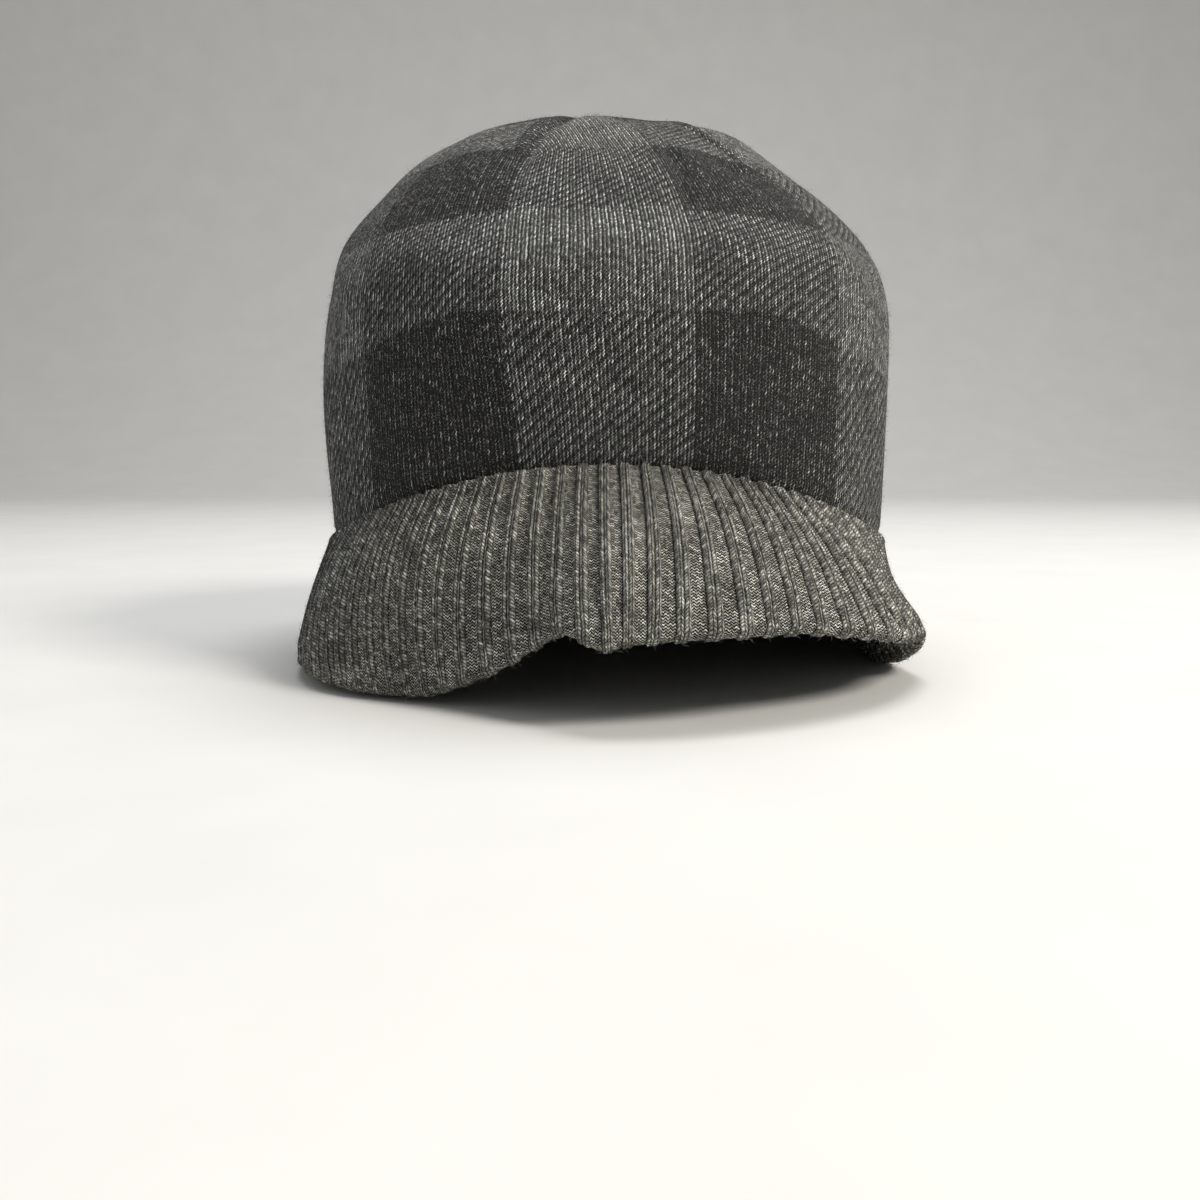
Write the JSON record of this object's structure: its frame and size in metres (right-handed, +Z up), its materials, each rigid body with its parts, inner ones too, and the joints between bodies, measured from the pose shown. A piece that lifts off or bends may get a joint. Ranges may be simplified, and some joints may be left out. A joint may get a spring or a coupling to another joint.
{
  "type": "brimmed beanie",
  "caption": "Knitted cap with a checked jacquard crown closed by darts, and a rib-knit band that widens into a short soft arched peak.",
  "frame": {"origin": "on the surface that the cap rests on, under the middle of its overall box", "axes": "+Z up, the peak points towards -Y, +X towards the wearer's left"},
  "size_m": [0.18, 0.2386, 0.1689],
  "materials": {
    "jacquard_knit": "fine-gauge jacquard jersey in heathered dark and light grey, slightly fuzzy, matte",
    "rib_knit": "heathered warm grey rib knit, slightly fuzzy, matte"
  },
  "bodies": {
    "root": {"crown": "jacquard_knit", "brim": "rib_knit"}
  },
  "joints": []
}
